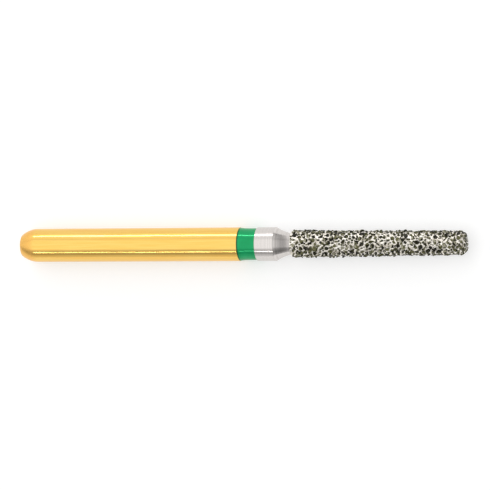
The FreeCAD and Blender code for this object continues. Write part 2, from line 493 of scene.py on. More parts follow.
@dataclass(frozen=True)
class TurnedSteel(Finish):
    """Bright stainless steel with the fine rings of a lathe.

    Attributes:
        light: Colour of the bright rings.
        dark: Colour of the dull rings.
        blend: Part of the noise's range over which the colour changes.
        pitch: Rough distance from one ring to the next.
        groove: Depth of the rings.
        wipes: Wipe marks to the metre along each axis.
        wipe: Depth of the wipe marks.
        gloss: Least and greatest roughness.
    """

    title: str = "turned_steel"
    light: Colour = (0.68, 0.645, 0.620, 1)
    dark: Colour = (0.60, 0.565, 0.540, 1)
    blend: Range = (0.2, 0.8)
    pitch: float = 0.035 * MM
    groove: float = 0.0009 * MM
    wipes: Scale = (300, 9000, 9000)
    wipe: float = 0.0012 * MM
    gloss: Range = (0.10, 0.20)

    def paint(self, board: Board) -> None:
        """Wire rings of colour, gloss and relief.

        Args:
            board: The board that holds the finish's nodes.
        """
        rings = board.rings(self.pitch, detail=3.0)
        tint = board.tint(rings, self.dark, self.light, self.blend)
        normal = board.bump(rings, self.groove)
        normal = board.bump(board.speckle(self.wipes, detail=2.0), self.wipe, normal)
        gloss = board.spread(rings, *self.gloss)
        board.surface({"Base Color": tint, "Metallic": 1.0, "Roughness": gloss, "Normal": normal})


@dataclass(frozen=True)
class PolishedGold(Finish):
    """Gold plating, drawn along the shank and turned in rings on the butt.

    Attributes:
        warm: The plating's main colour.
        pale: Its colour where the polish is brightest.
        blend: Part of the noise's range over which the colour changes.
        turned: Its colour on the turned butt.
        butt_end: Station where the rounding of the butt ends.
        fade: Share of that station at which the turned finish is full.
        draws: Drawing marks to the metre along each axis.
        draw: Depth of the drawing marks.
        waves: Slow waves to the metre along each axis.
        wave: Depth of the waves.
        pitch: Rough distance from one ring to the next on the butt.
        groove: Depth of the rings.
        gloss: Least and greatest roughness of the shank.
        dulling: How much rougher the butt is.
    """

    title: str = "polished_gold"
    warm: Colour = (0.87, 0.520, 0.122, 1)
    pale: Colour = (0.87, 0.580, 0.160, 1)
    blend: Range = (0.1, 0.9)
    turned: Colour = (0.87, 0.495, 0.125, 1)
    butt_end: float = 0.8 * MM
    fade: float = 0.72
    draws: Scale = (500, 14000, 14000)
    draw: float = 0.0008 * MM
    waves: Scale = (1100, 5200, 5200)
    wave: float = 0.0020 * MM
    pitch: float = 0.05 * MM
    groove: float = 0.0035 * MM
    gloss: Range = (0.09, 0.15)
    dulling: float = 0.16

    def paint(self, board: Board) -> None:
        """Wire lengthwise streaks over the shank and rings over the butt.

        Args:
            board: The board that holds the finish's nodes.
        """
        station = board.parts("Object")["X"]
        on_butt = board.step(station, self.butt_end, self.butt_end * self.fade)
        draws = board.speckle(self.draws, detail=3.0)
        rings = board.math("MULTIPLY", board.rings(self.pitch, detail=2.0), on_butt)
        tint = board.tint(draws, self.warm, self.pale, self.blend)
        tint = board.mix(on_butt, tint, self.turned)
        dulling = board.math("MULTIPLY", on_butt, self.dulling)
        gloss = board.math("ADD", dulling, board.spread(draws, *self.gloss))
        normal = board.bump(draws, self.draw)
        normal = board.bump(board.speckle(self.waves, detail=1.0), self.wave, normal)
        normal = board.bump(rings, self.groove, normal)
        board.surface({"Base Color": tint, "Metallic": 1.0, "Roughness": gloss, "Normal": normal})


@dataclass(frozen=True)
class BandLacquer(Finish):
    """Glossy green lacquer, thick in the groove and thin at its edges; painted shade by the
    plating.

    Attributes:
        body: Colour of the thick film.
        thin: Colour where the film runs thin.
        blend: Part of the noise's range over which the colour changes.
        pooled_and_shaded: Colour where it has pooled against the plating, with painted shade.
        start: Station of the band's edge beside the plating.
        pool_and_shade: Distances from that edge at which the darker band ends and is full.
        mottles: Mottles to the millimetre.
        flows: Waves of the film to the metre along each axis.
        flow: Depth of those waves.
        sheen: How much of the light comes back from the steel under the film.
        shine: Specular level of the film.
        ior: Refractive index of the film.
        gloss: Least and greatest roughness.
    """

    title: str = "band_lacquer"
    body: Colour = (0.001, 0.335, 0.105, 1)
    thin: Colour = (0.003, 0.385, 0.130, 1)
    blend: Range = (0.0, 1.0)
    pooled_and_shaded: Colour = (0.001, 0.11, 0.035, 1)
    start: float = 10.85 * MM
    pool_and_shade: Range = (0.07 * MM, 0.03 * MM)
    mottles: float = 2.2
    flows: Scale = (700, 1500, 1500)
    flow: float = 0.006 * MM
    sheen: float = 0.35
    shine: float = 0.35
    ior: float = 1.5
    gloss: Range = (0.08, 0.12)

    def paint(self, board: Board) -> None:
        """Wire a mottled, slightly wavy film that steel shines through.

        Args:
            board: The board that holds the finish's nodes.
        """
        mottle = board.cloud(self.mottles, detail=4.0)
        tint = board.tint(mottle, self.body, self.thin, self.blend)
        shallow, deep = self.pool_and_shade
        station = board.parts("Object")["X"]
        # Darker band beside the plating: partly thicker pooled lacquer, partly painted shade under
        # the plating's edge.
        pool_and_shade = board.step(station, self.start + shallow, self.start + deep)
        board.surface(
            {
                "Base Color": board.mix(pool_and_shade, tint, self.pooled_and_shaded),
                "Metallic": self.sheen,
                "Roughness": board.spread(mottle, *self.gloss),
                "IOR": self.ior,
                "Specular IOR Level": self.shine,
                "Normal": board.bump(board.speckle(self.flows, detail=1.0), self.flow),
            }
        )


@dataclass(frozen=True)
class PlatedNickel(Finish):
    """Bright, lumpy electroplated nickel.

    Attributes:
        light: Colour of its bright crests.
        dark: Colour of its duller hollows.
        blend: Part of the noise's range over which the colour changes.
        patches: Patches of colour and gloss to the millimetre.
        nodules: Nodules to the millimetre.
        nodule: Height of a nodule.
        gloss: Least and greatest roughness.
    """

    title: str = "plated_nickel"
    light: Colour = (0.98, 0.94, 0.86, 1)
    dark: Colour = (0.60, 0.55, 0.47, 1)
    blend: Range = (0.1, 0.7)
    patches: float = 4.0
    nodules: float = 38.0
    nodule: float = 0.004 * MM
    gloss: Range = (0.22, 0.32)

    def paint(self, board: Board) -> None:
        """Wire nodular relief and a warm, uneven tint.

        Args:
            board: The board that holds the finish's nodes.
        """
        patches = board.cloud(self.patches, detail=3.0)
        tint = board.tint(patches, self.dark, self.light, self.blend)
        gloss = board.spread(patches, *self.gloss)
        normal = board.bump(board.cloud(self.nodules, detail=2.0), self.nodule)
        board.surface({"Base Color": tint, "Metallic": 1.0, "Roughness": gloss, "Normal": normal})


@dataclass(frozen=True)
class DiamondCrystal(Finish):
    """Olive to near-black diamond, glossy, with reflections and glints painted on its facets.

    Attributes:
        lot: Name of the mesh attribute that gives each facet its own shade, painted reflections
            included.
        shades_and_glints: Shades from the darkest facets to the pale painted glints at the top.
        haze: Colour of the clouding inside.
        hazes: Clouds to the millimetre.
        haziness: Greatest share of the haze.
        gloss: Least and greatest roughness.
        shine: Specular level of the facets.
        ior: Refractive index of the facets.
    """

    title: str = "diamond_crystal"
    lot: str = "lot"
    shades_and_glints: tuple[tuple[float, Colour], ...] = (
        (0.0, (0.001, 0.001, 0.001, 1)),
        (0.38, (0.005, 0.005, 0.002, 1)),
        (0.52, (0.020, 0.014, 0.005, 1)),
        (0.66, (0.052, 0.052, 0.013, 1)),
        (0.80, (0.094, 0.097, 0.027, 1)),
        (0.90, (0.040, 0.032, 0.027, 1)),
        (0.98, (0.144, 0.140, 0.063, 1)),
        (1.0, (0.432, 0.414, 0.297, 1)),
    )
    haze: Colour = (0.068, 0.070, 0.023, 1)
    hazes: float = 11.0
    haziness: float = 0.25
    gloss: Range = (0.08, 0.20)
    shine: float = 0.08
    ior: float = 1.75

    def paint(self, board: Board) -> None:
        """Wire each facet's shade with its painted glints, clouded inside and glossy outside.

        Args:
            board: The board that holds the finish's nodes.
        """
        lot = board.add("Attribute", {}, attribute_name=self.lot).outputs["Fac"]
        cloud = board.cloud(self.hazes, detail=2.0)
        hazy = board.spread(cloud, 0.0, self.haziness)
        # Facet shades carry painted reflections, and the ramp's top holds the pale painted glints.
        board.surface(
            {
                "Base Color": board.mix(hazy, board.ramp(lot, self.shades_and_glints), self.haze),
                "Roughness": board.spread(cloud, *self.gloss),
                "IOR": self.ior,
                "Specular IOR Level": self.shine,
            }
        )


@dataclass(frozen=True)
class PaleTable(Finish):
    """The white table top, which keeps the bur's soft shadow.

    Attributes:
        colour: Colour of the table under the lamps.
        glow: Light that the camera and mirrors see on top, so that it shows white.
    """

    title: str = "pale_table"
    colour: Colour = (0.66, 0.66, 0.66, 1)
    glow: float = 0.47

    def paint(self, board: Board) -> None:
        """Wire a matt white with a little glow for sight and reflections.

        Args:
            board: The board that holds the finish's nodes.
        """
        path = board.add("LightPath", {}).outputs
        seen = board.math("MAXIMUM", path["Is Camera Ray"], path["Is Glossy Ray"])
        seen = board.math("MAXIMUM", seen, path["Is Transmission Ray"])
        matt = board.add("BsdfDiffuse", {"Color": self.colour})
        glow = board.add("Emission", {"Strength": board.math("MULTIPLY", seen, self.glow)})
        both = board.add("AddShader", {0: matt.outputs[0], 1: glow.outputs[0]})
        board.output(both.outputs[0])


class TurnedPiece:
    """A piece that is turned from an outline.

    Attributes:
        NAME: Its name in the scene.
        NODE: The frame's solid that it stands for.
        SLOT: The record's material slot; not used.
        ENDS: How its outline closes.
    """

    NAME: ClassVar[str]
    NODE: ClassVar[str]
    SLOT: ClassVar[str]
    ENDS: ClassVar[Ends] = Ends.AXIS

    def corners(self) -> list[Corner]:
        """List the corners of the piece's outline."""
        raise NotImplementedError

    def build(self, lathe: Lathe, finish: Finish) -> bpy.types.Object:
        """Turn the piece on a lathe and dress it with its finish."""
        piece = lathe.turn(self.NAME, self.corners(), self.ENDS)
        return seat(piece, self.NODE, finish)


@dataclass
class SteelBlank(TurnedPiece):
    """The turned steel blank: shank, band groove, collar, neck and the head's core.

    Attributes:
        shank_radius: Radius of the finished shank and collar.
        plating_wall: Wall of the plating that lies over the shank.
        band_start: Station where the band groove starts.
        band_end: Station where it ends.
        groove_depth: Depth of the groove below the shank.
        collar_width: Width of the bright collar.
        coat_start: Station where the neck ends and the coat starts.
        neck_radius: Radius of the neck's hollow arc.
        core_back: Radius of the core where the coat starts.
        core_front: Radius of the core at the head's end.
        core_end: Station of the core's end.
        core_chamfer: Chamfer round the core's end.
        butt_radius: Radius of the arc that rounds the butt.
        butt_face: Radius of the butt's flat face.
        edge: How far sharp turned edges are broken.
    """

    NAME = "turned_blank"
    NODE = "steel_blank"
    SLOT = "steel"

    shank_radius: float
    band_start: float
    band_end: float
    coat_start: float
    core_end: float
    plating_wall: float = 0.025 * MM
    groove_depth: float = 0.16 * MM
    collar_width: float = 0.90 * MM
    neck_radius: float = 2.08 * MM
    core_back: float = 0.49 * MM
    core_front: float = 0.405 * MM
    core_chamfer: float = 0.10 * MM
    butt_radius: float = 1.3 * MM
    butt_face: float = 0.52 * MM
    edge: float = 0.016 * MM

    def round_end(self) -> float:
        """Give the station where the rounding of the butt meets the shank."""
        drop = self.butt_radius - self.shank_radius
        return math.sqrt(self.butt_radius**2 - (self.butt_face + drop) ** 2)

    def inner_butt(self) -> tuple[float, float]:
        """Follow the rounding of the butt under the plating.

        Returns:
            Radius of its arc and radius of the flat face.
        """
        bend = self.butt_radius - self.plating_wall
        reach = self.round_end() - self.plating_wall
        return bend, math.sqrt(bend**2 - reach**2) - (self.butt_radius - self.shank_radius)

    def corners(self) -> list[Corner]:
        """List the corners of the blank's outline from butt to head.

        Returns:
            The corners.
        """
        wall = self.plating_wall
        plated = self.shank_radius - wall
        inner_bend, face = self.inner_butt()
        groove = self.shank_radius - self.groove_depth
        collar_end = self.band_end + self.collar_width
        slope = (self.core_back - self.core_front) / (self.core_end - self.coat_start)
        shoulder = self.core_front + slope * self.core_chamfer
        return [
            Corner(wall, 0.0),
            Corner(wall, face, bend=inner_bend, side=-1),
            Corner(self.round_end(), plated),
            Corner(self.band_start, plated),
            Corner(self.band_start, groove),
            Corner(self.band_end, groove),
            Corner(self.band_end, self.shank_radius, edge=self.edge),
            Corner(collar_end, self.shank_radius, edge=self.edge, bend=self.neck_radius),
            Corner(self.coat_start, self.core_back),
            Corner(self.core_end - self.core_chamfer, shoulder),
            Corner(self.core_end, self.core_front - self.core_chamfer),
            Corner(self.core_end, 0.0),
        ]


@dataclass
class GoldPlating(TurnedPiece):
    """The gold skin over the rounded butt and the shank.

    Attributes:
        blank: The blank that it lies on.
        edge: How far the rim of the skin is rounded beside the band.
        face_edge: How far the edge of the butt's flat face is rounded.
    """

    NAME = "plated_skin"
    NODE = "gold_plating"
    SLOT = "gold"

    blank: SteelBlank
    edge: float = 0.020 * MM
    face_edge: float = 0.03 * MM

    def corners(self) -> list[Corner]:
        """List the corners of the skin's section, outer side first.

        Returns:
            The corners.
        """
        blank = self.blank
        wall = blank.plating_wall
        inner = blank.shank_radius - wall
        inner_bend, face = blank.inner_butt()
        return [
            Corner(0.0, 0.0),
            Corner(0.0, blank.butt_face, edge=self.face_edge, bend=blank.butt_radius, side=-1),
            Corner(blank.round_end(), blank.shank_radius),
            Corner(blank.band_start, blank.shank_radius, edge=self.edge),
            Corner(blank.band_start, inner),
            Corner(blank.round_end(), inner, bend=inner_bend, side=1),
            Corner(wall, face),
            Corner(wall, 0.0),
        ]


@dataclass
class ColourBand(TurnedPiece):
    """The ring of lacquer in the blank's groove.

    Attributes:
        blank: The blank that carries it.
        recess: How far the lacquer lies below the shank.
        fall: How much lower it lies beside the collar.
        rise: How far it climbs the wall beside the plating.
        climb: Length over which it climbs.
    """

    NAME = "lacquer_band"
    NODE = "colour_band"
    SLOT = "green_lacquer"
    ENDS = Ends.RING

    blank: SteelBlank
    recess: float = 0.045 * MM
    fall: float = 0.005 * MM
    rise: float = 0.03 * MM
    climb: float = 0.40 * MM

    def corners(self) -> list[Corner]:
        """List the corners of the ring's section.

        Returns:
            The corners.
        """
        blank = self.blank
        low = blank.shank_radius - blank.groove_depth
        top = blank.shank_radius - self.recess
        bend = (self.climb**2 + self.rise**2) / (2 * self.rise)
        return [
            Corner(blank.band_start, low),
            Corner(blank.band_start, top + self.rise, bend=bend, side=1),
            Corner(blank.band_start + self.climb, top),
            Corner(blank.band_end, top - self.fall),
            Corner(blank.band_end, low),
        ]


@dataclass(frozen=True)
class Spot:
    """A place on the head's coat.

    Attributes:
        place: The point on the bond's plain surface.
        normal: The way out of the surface there.
        width: Width of the grain that sits there.
    """

    place: Vector
    normal: Vector
    width: float = 0.0


@dataclass
class HeadForm:
    """The bond's plain outer surface: a slow taper, a round front edge and a flat end.

    Attributes:
        start: Station where the coat starts.
        end: Station of the flat end.
        back_radius: Radius where the coat starts.
        front_radius: Radius that the taper would have at the flat end.
        edge_radius: Radius of the front edge.
    """

    start: float
    end: float
    back_radius: float = 0.61 * MM
    front_radius: float = 0.525 * MM
    edge_radius: float = 0.25 * MM

    def __post_init__(self) -> None:
        """Work out the taper's angle and the centre of the front edge."""
        self.slope = math.atan2(self.back_radius - self.front_radius, self.end - self.start)
        self.centre_x = self.end - self.edge_radius
        self.centre_r = (
            self.front_radius
            + self.edge_radius * math.tan(self.slope)
            - self.edge_radius / math.cos(self.slope)
        )
        straight = self.centre_x + self.edge_radius * math.sin(self.slope) - self.start
        self.taper = straight / math.cos(self.slope)
        self.bend = self.edge_radius * (math.pi / 2 - self.slope)
        self.length = self.taper + self.bend + self.centre_r

    def at(self, way: float) -> tuple[float, float, float]:
        """Walk the outline from the coat's start to the middle of the flat end.

        Args:
            way: Distance walked.

        Returns:
            Station, radius and how far the normal leans from the radial way.
        """
        if way < self.taper:
            left = self.taper - way
            along, out = math.cos(self.slope), math.sin(self.slope)
            x = self.centre_x + self.edge_radius * out - left * along
            r = self.centre_r + self.edge_radius * along + left * out
            return x, r, self.slope
        lean = min(self.slope + (way - self.taper) / self.edge_radius, math.pi / 2)
        inward = max(way - self.taper - self.bend, 0.0)
        x = self.centre_x + self.edge_radius * math.sin(lean)
        r = self.centre_r + self.edge_radius * math.cos(lean) - inward
        return x, max(r, 0.0), lean

    def spot(self, way: float, angle: float, width: float = 0.0) -> Spot:
        """Give a place on the surface.

        Args:
            way: Distance along the outline.
            angle: Angle round the axis.
            width: Width of the grain that sits there.

        Returns:
            The place.
        """
        x, r, lean = self.at(way)
        turn = Vector((0.0, math.cos(angle), math.sin(angle)))
        normal = turn * math.cos(lean) + Vector((math.sin(lean), 0.0, 0.0))
        return Spot(Vector((x, 0.0, 0.0)) + turn * r, normal, width)

    def nearest(self, point: Vector) -> tuple[float, float]:
        """Find the way and the angle of the surface place below a point.

        Args:
            point: A point near the surface.

        Returns:
            Distance along the outline and angle round the axis.
        """
        angle = math.atan2(point.z, point.y)
        r = math.hypot(point.y, point.z)
        lean = math.atan2(point.x - self.centre_x, r - self.centre_r)
        if point.x > self.centre_x and r < self.centre_r:
            way = self.taper + self.bend + self.centre_r - r
        elif lean > self.slope:
            way = self.taper + (lean - self.slope) * self.edge_radius
        else:
            way = (point.x - self.start) / math.cos(self.slope)
        return way, angle


def plant(seats: Sequence[Spot]) -> KDTree:
    """Put the places of seats in a search tree.

    Args:
        seats: The seats.

    Returns:
        The tree, which knows each seat by its number.
    """
    tree = KDTree(len(seats))
    for index, taken in enumerate(seats):
        tree.insert(taken.place, index)
    tree.balance()
    return tree


class Habit(Enum):
    """The shapes in which the diamond grains grew or broke."""

    CUBE_OCTAHEDRON = "grown, with cube and octahedron faces"
    OCTAHEDRON = "grown, with the cube faces small"
    SPLINTER = "broken along random faces"


@dataclass(frozen=True)
class CrystalCutter:
    """Cuts crystals of unit radius by planes.

    Attributes:
        bevel: How far the edges are worn.
        block: Side of the block that a crystal is cut from.
        weld: Points nearer than this are joined.
        blunt_cuts: Least and greatest distances of the faces from the middle, for the
            cube's faces and for the octahedron's, on a crystal with large cube faces.
        sharp_cuts: The same on a crystal with small cube faces.
        breaks: Number of faces of a splinter.
        break_cuts: Least and greatest distance of those faces from the middle.
    """

    bevel: float = 0.035
    block: float = 2.1
    weld: float = 0.02
    blunt_cuts: tuple[Range, Range] = ((0.62, 0.88), (0.68, 0.98))
    sharp_cuts: tuple[Range, Range] = ((0.84, 1.02), (0.56, 0.76))
    breaks: int = 9
    break_cuts: Range = (0.42, 0.85)

    def planes(self, habit: Habit, rng: random.Random) -> list[tuple[Vector, float]]:
        """Choose the faces of one crystal.

        Args:
            habit: The crystal's habit.
            rng: The source of chance.

        Returns:
            Each face's normal and its distance from the middle.
        """
        faces = []
        if habit is Habit.SPLINTER:
            for _ in range(self.breaks):
                normal = Vector([rng.gauss(0, 1) for _ in range(3)]).normalized()
                faces.append((normal, rng.uniform(*self.break_cuts)))
            return faces
        ends = (1, -1)
        cube = [Vector(v) * s for v in ((1, 0, 0), (0, 1, 0), (0, 0, 1)) for s in ends]
        octahedron = [Vector((x, y, z)).normalized() for x in ends for y in ends for z in ends]
        cuts = self.blunt_cuts if habit is Habit.CUBE_OCTAHEDRON else self.sharp_cuts
        for normals, span in zip((cube, octahedron), cuts):
            faces.extend((normal, rng.uniform(*span)) for normal in normals)
        return faces

    def cut(
        self, habit: Habit, rng: random.Random, worn: bool
    ) -> tuple[np.ndarray, list[list[int]]]:
        """Cut one crystal out of a block.

        Args:
            habit: The crystal's habit.
            rng: The source of chance.
            worn: Whether its edges are bevelled.

        Returns:
            Its points and its faces.
        """
        work = bmesh.new()
        bmesh.ops.create_cube(work, size=self.block)
        for normal, distance in self.planes(habit, rng):
            geometry = [*work.verts, *work.edges, *work.faces]
            done = bmesh.ops.bisect_plane(
                work,
                geom=geometry,
                plane_co=normal * distance,
                plane_no=normal,
                clear_outer=True,
            )
            rim = [e for e in done["geom_cut"] if isinstance(e, bmesh.types.BMEdge)]
            if rim:
                bmesh.ops.holes_fill(work, edges=rim, sides=0)
        bmesh.ops.remove_doubles(work, verts=work.verts, dist=self.weld)
        if worn:
            bmesh.ops.bevel(
                work, geom=work.edges[:], offset=self.bevel, segments=1, affect="EDGES"
            )
        bmesh.ops.recalc_face_normals(work, faces=work.faces)
        work.verts.index_update()
        points = np.array([v.co for v in work.verts])
        faces = [[v.index for v in face.verts] for face in work.faces]
        work.free()
        return points, faces


@dataclass
class DiamondGrit:
    """The diamond grains: one crystal over each grain of the frame, and finer ones between.

    Attributes:
        form: The bond's plain surface.
        seed: Seed of the source of chance.
        fine_tries: How many places are tried for the finer grains.
        fine_widths: Least and greatest width of a finer grain.
        fine_start: Distance from the coat's start at which the finer grains begin.
        room: Share of a grain's width that finer ones stay out of.
        fine_room: The same between two finer grains.
        look_back: How many of the last finer grains a new one is kept clear of.
        crest: Least and greatest height of a grain above the plain surface.
        lean_crest: Power that makes low crests more common than high ones.
        worn: Share of that height that the grains on the flat end lack.
        full_width: Width from which a grain stands at its full height.
        swell: Least and greatest width of a grain against its solid's.
        drift: Distance over which the swell changes.
        unrest: How strongly it changes.
        squeeze: Least breadth of a grain against its length.
        painted_reflection: How much the facets of one grain differ in shade, as painted
            reflections.
        painted_glints: Share of the facets painted pale as glints.
        palest: Greatest shade of a facet that is not a painted glint.
        habits: How many crystals of each habit are cut for the stock.
    """

    form: HeadForm
    seed: int = 5
    fine_tries: int = 5200
    fine_widths: Range = (0.06 * MM, 0.11 * MM)
    fine_start: float = 0.03 * MM
    room: float = 0.8
    fine_room: float = 0.9
    look_back: int = 400
    crest: Range = (0.008 * MM, 0.088 * MM)
    lean_crest: float = 1.4
    worn: float = 0.48
    full_width: float = 0.15 * MM
    swell: Range = (0.98, 1.55)
    drift: float = 0.16 * MM
    unrest: float = 0.9
    squeeze: float = 0.55
    painted_reflection: float = 0.55
    painted_glints: float = 0.11
    palest: float = 0.98
    habits: tuple[tuple[Habit, int], ...] = (
        (Habit.CUBE_OCTAHEDRON, 9),
        (Habit.OCTAHEDRON, 4),
        (Habit.SPLINTER, 9),
    )

    def seats(self, solid: bpy.types.Object) -> list[Spot]:
        """Read the seat of each grain from the frame's solid.

        Args:
            solid: The frame's node that holds all the grains.

        Returns:
            The seats, back to front.
        """
        mesh = solid.data
        count = len(mesh.vertices)
        places = np.zeros(count * 3)
        mesh.vertices.foreach_get("co", places)
        places = places.reshape(-1, 3)
        keys: dict[tuple[int, int, int], int] = {}
        leader = [
            keys.setdefault(tuple(np.round(place / SAME_POINT).astype(int)), index)
            for index, place in enumerate(places)
        ]

        def find(index: int) -> int:
            """Follow a point to the leader of its grain.

            Args:
                index: The point's number.

            Returns:
                The leader's number.
            """
            while leader[index] != index:
                leader[index] = leader[leader[index]]
                index = leader[index]
            return index

        for edge in mesh.edges:
            first, second = (find(v) for v in edge.vertices)
            leader[max(first, second)] = min(first, second)
        grains: dict[int, list[int]] = {}
        for index in range(count):
            grains.setdefault(find(index), []).append(index)
        found = []
        for members in grains.values():
            corners = np.unique(np.round(places[members] / SAME_POINT), axis=0) * SAME_POINT
            middle = Vector(corners.mean(axis=0))
            way, angle = self.form.nearest(middle)
            spot = self.form.spot(way, angle)
            normal = np.array(spot.normal)
            offsets = corners - np.array(spot.place)
            flat = offsets - np.outer(offsets @ normal, normal)
            found.append(Spot(spot.place, spot.normal, 2 * np.linalg.norm(flat, axis=1).max()))
        return sorted(found, key=lambda spot: tuple(spot.place))

    def finer(self, seats: list[Spot], rng: random.Random) -> list[Spot]:
        """Scatter finer grains in the room that is left between the seats.

        Args:
            seats: The seats that are taken.
            rng: The source of chance.

        Returns:
            The seats of the finer grains.
        """
        tree = plant(seats)
        kept: list[Spot] = []
        widest = max(taken.width for taken in seats)
        for _ in range(self.fine_tries):
            way = rng.uniform(self.fine_start, self.form.length)
            angle = rng.uniform(0, 2 * math.pi)
            spot = self.form.spot(way, angle, rng.uniform(*self.fine_widths))
            near = tree.find_range(spot.place, (widest + spot.width) / 2)
            if any(
                gap < (seats[index].width * self.room + spot.width) / 2 for _, index, gap in near
            ):
                continue
            apart = spot.width * self.fine_room
            latest = kept[-self.look_back :]
            if any((spot.place - other.place).length < apart for other in latest):
                continue
            kept.append(spot)
        return kept

    def swollen(self, spot: Spot) -> float:
        """Work out how much wider than its solid a grain is, by slow noise.

        Args:
            spot: The grain's seat.

        Returns:
            Its width against the solid's.
        """
        chance = 0.5 + self.unrest * noise.noise(spot.place / self.drift)
        least, most = self.swell
        return least + (most - least) * min(max(chance, 0.0), 1.0)

    def height(self, spot: Spot, rng: random.Random) -> float:
        """Choose how high a grain stands.

        Args:
            spot: The grain's seat.
            rng: The source of chance.

        Returns:
            Its height above the plain surface.
        """
        least, most = self.crest
        crest = least + (most - least) * rng.random() ** self.lean_crest
        share = min(1.0, spot.width / self.full_width)
        return crest * (0.5 + 0.5 * share) * (1 - self.worn * spot.normal.x)

    def grow(
        self, seats: Sequence[Spot], rng: random.Random, worn: bool
    ) -> tuple[list[np.ndarray], list[list[list[int]]]]:
        """Stand a turned and stretched crystal on each seat.

        Args:
            seats: The seats.
            rng: The source of chance.
            worn: Whether the crystals' edges are bevelled.

        Returns:
            The points and the faces of each crystal.
        """
        cutter = CrystalCutter()
        stock = [
            cutter.cut(habit, rng, worn) for habit, count in self.habits for _ in range(count)
        ]
        clouds = []
        shells = []
        for spot in seats:
            points, faces = rng.choice(stock)
            turn = Quaternion([rng.gauss(0, 1) for _ in range(4)]).normalized()
            lie = Matrix.Rotation(rng.uniform(0, math.pi), 3, "Z")
            stretch = lie @ Matrix.Diagonal((1.0, rng.uniform(self.squeeze, 1.0), 1.0))
            shaped = points @ np.array(turn.to_matrix()).T @ np.array(stretch).T
            reach = np.linalg.norm(shaped[:, :2], axis=1).max()
            shaped *= spot.width * self.swollen(spot) / 2 / reach
            shaped[:, 2] *= self.height(spot, rng) / shaped[:, 2].max()
            basis = np.array(spot.normal.to_track_quat("Z", "Y").to_matrix())
            clouds.append(shaped @ basis.T + np.array(spot.place))
            shells.append(faces)
        return clouds, shells

    def build(self, seats: list[Spot], finer: list[Spot], finish: Finish) -> bpy.types.Object:
        """Grow all the grains as one piece and dress it.

        Args:
            seats: The seats of the frame's grains.
            finer: The seats of the finer grains.
            finish: Their finish.

        Returns:
            The piece.
        """
        rng = random.Random(self.seed)
        clouds, shells = self.grow(seats, rng, worn=True)
        fine_clouds, fine_shells = self.grow(finer, rng, worn=False)
        points: list[np.ndarray] = []
        faces: list[list[int]] = []
        lots: list[float] = []
        total = 0
        for cloud, shell in zip(clouds + fine_clouds, shells + fine_shells):
            faces.extend([total + corner for corner in face] for face in shell)
            points.append(cloud)
            total += len(cloud)
            # Each grain keeps its own tone; its facets stray from it as painted internal
            # reflections, and a share take the pale painted glint at the ramp's top.
            shade = rng.random()
            for _ in shell:
                if rng.random() < self.painted_glints:
                    lots.append(1.0)
                else:
                    lots.append(min(max(rng.gauss(shade, self.painted_reflection), 0.0), self.palest))
        piece = make_piece("diamond_crystals", np.concatenate(points).tolist(), faces)
        lot = piece.data.attributes.new("lot", "FLOAT", "FACE")
        lot.data.foreach_set("value", lots)
        return seat(piece, "diamond_grit", finish)


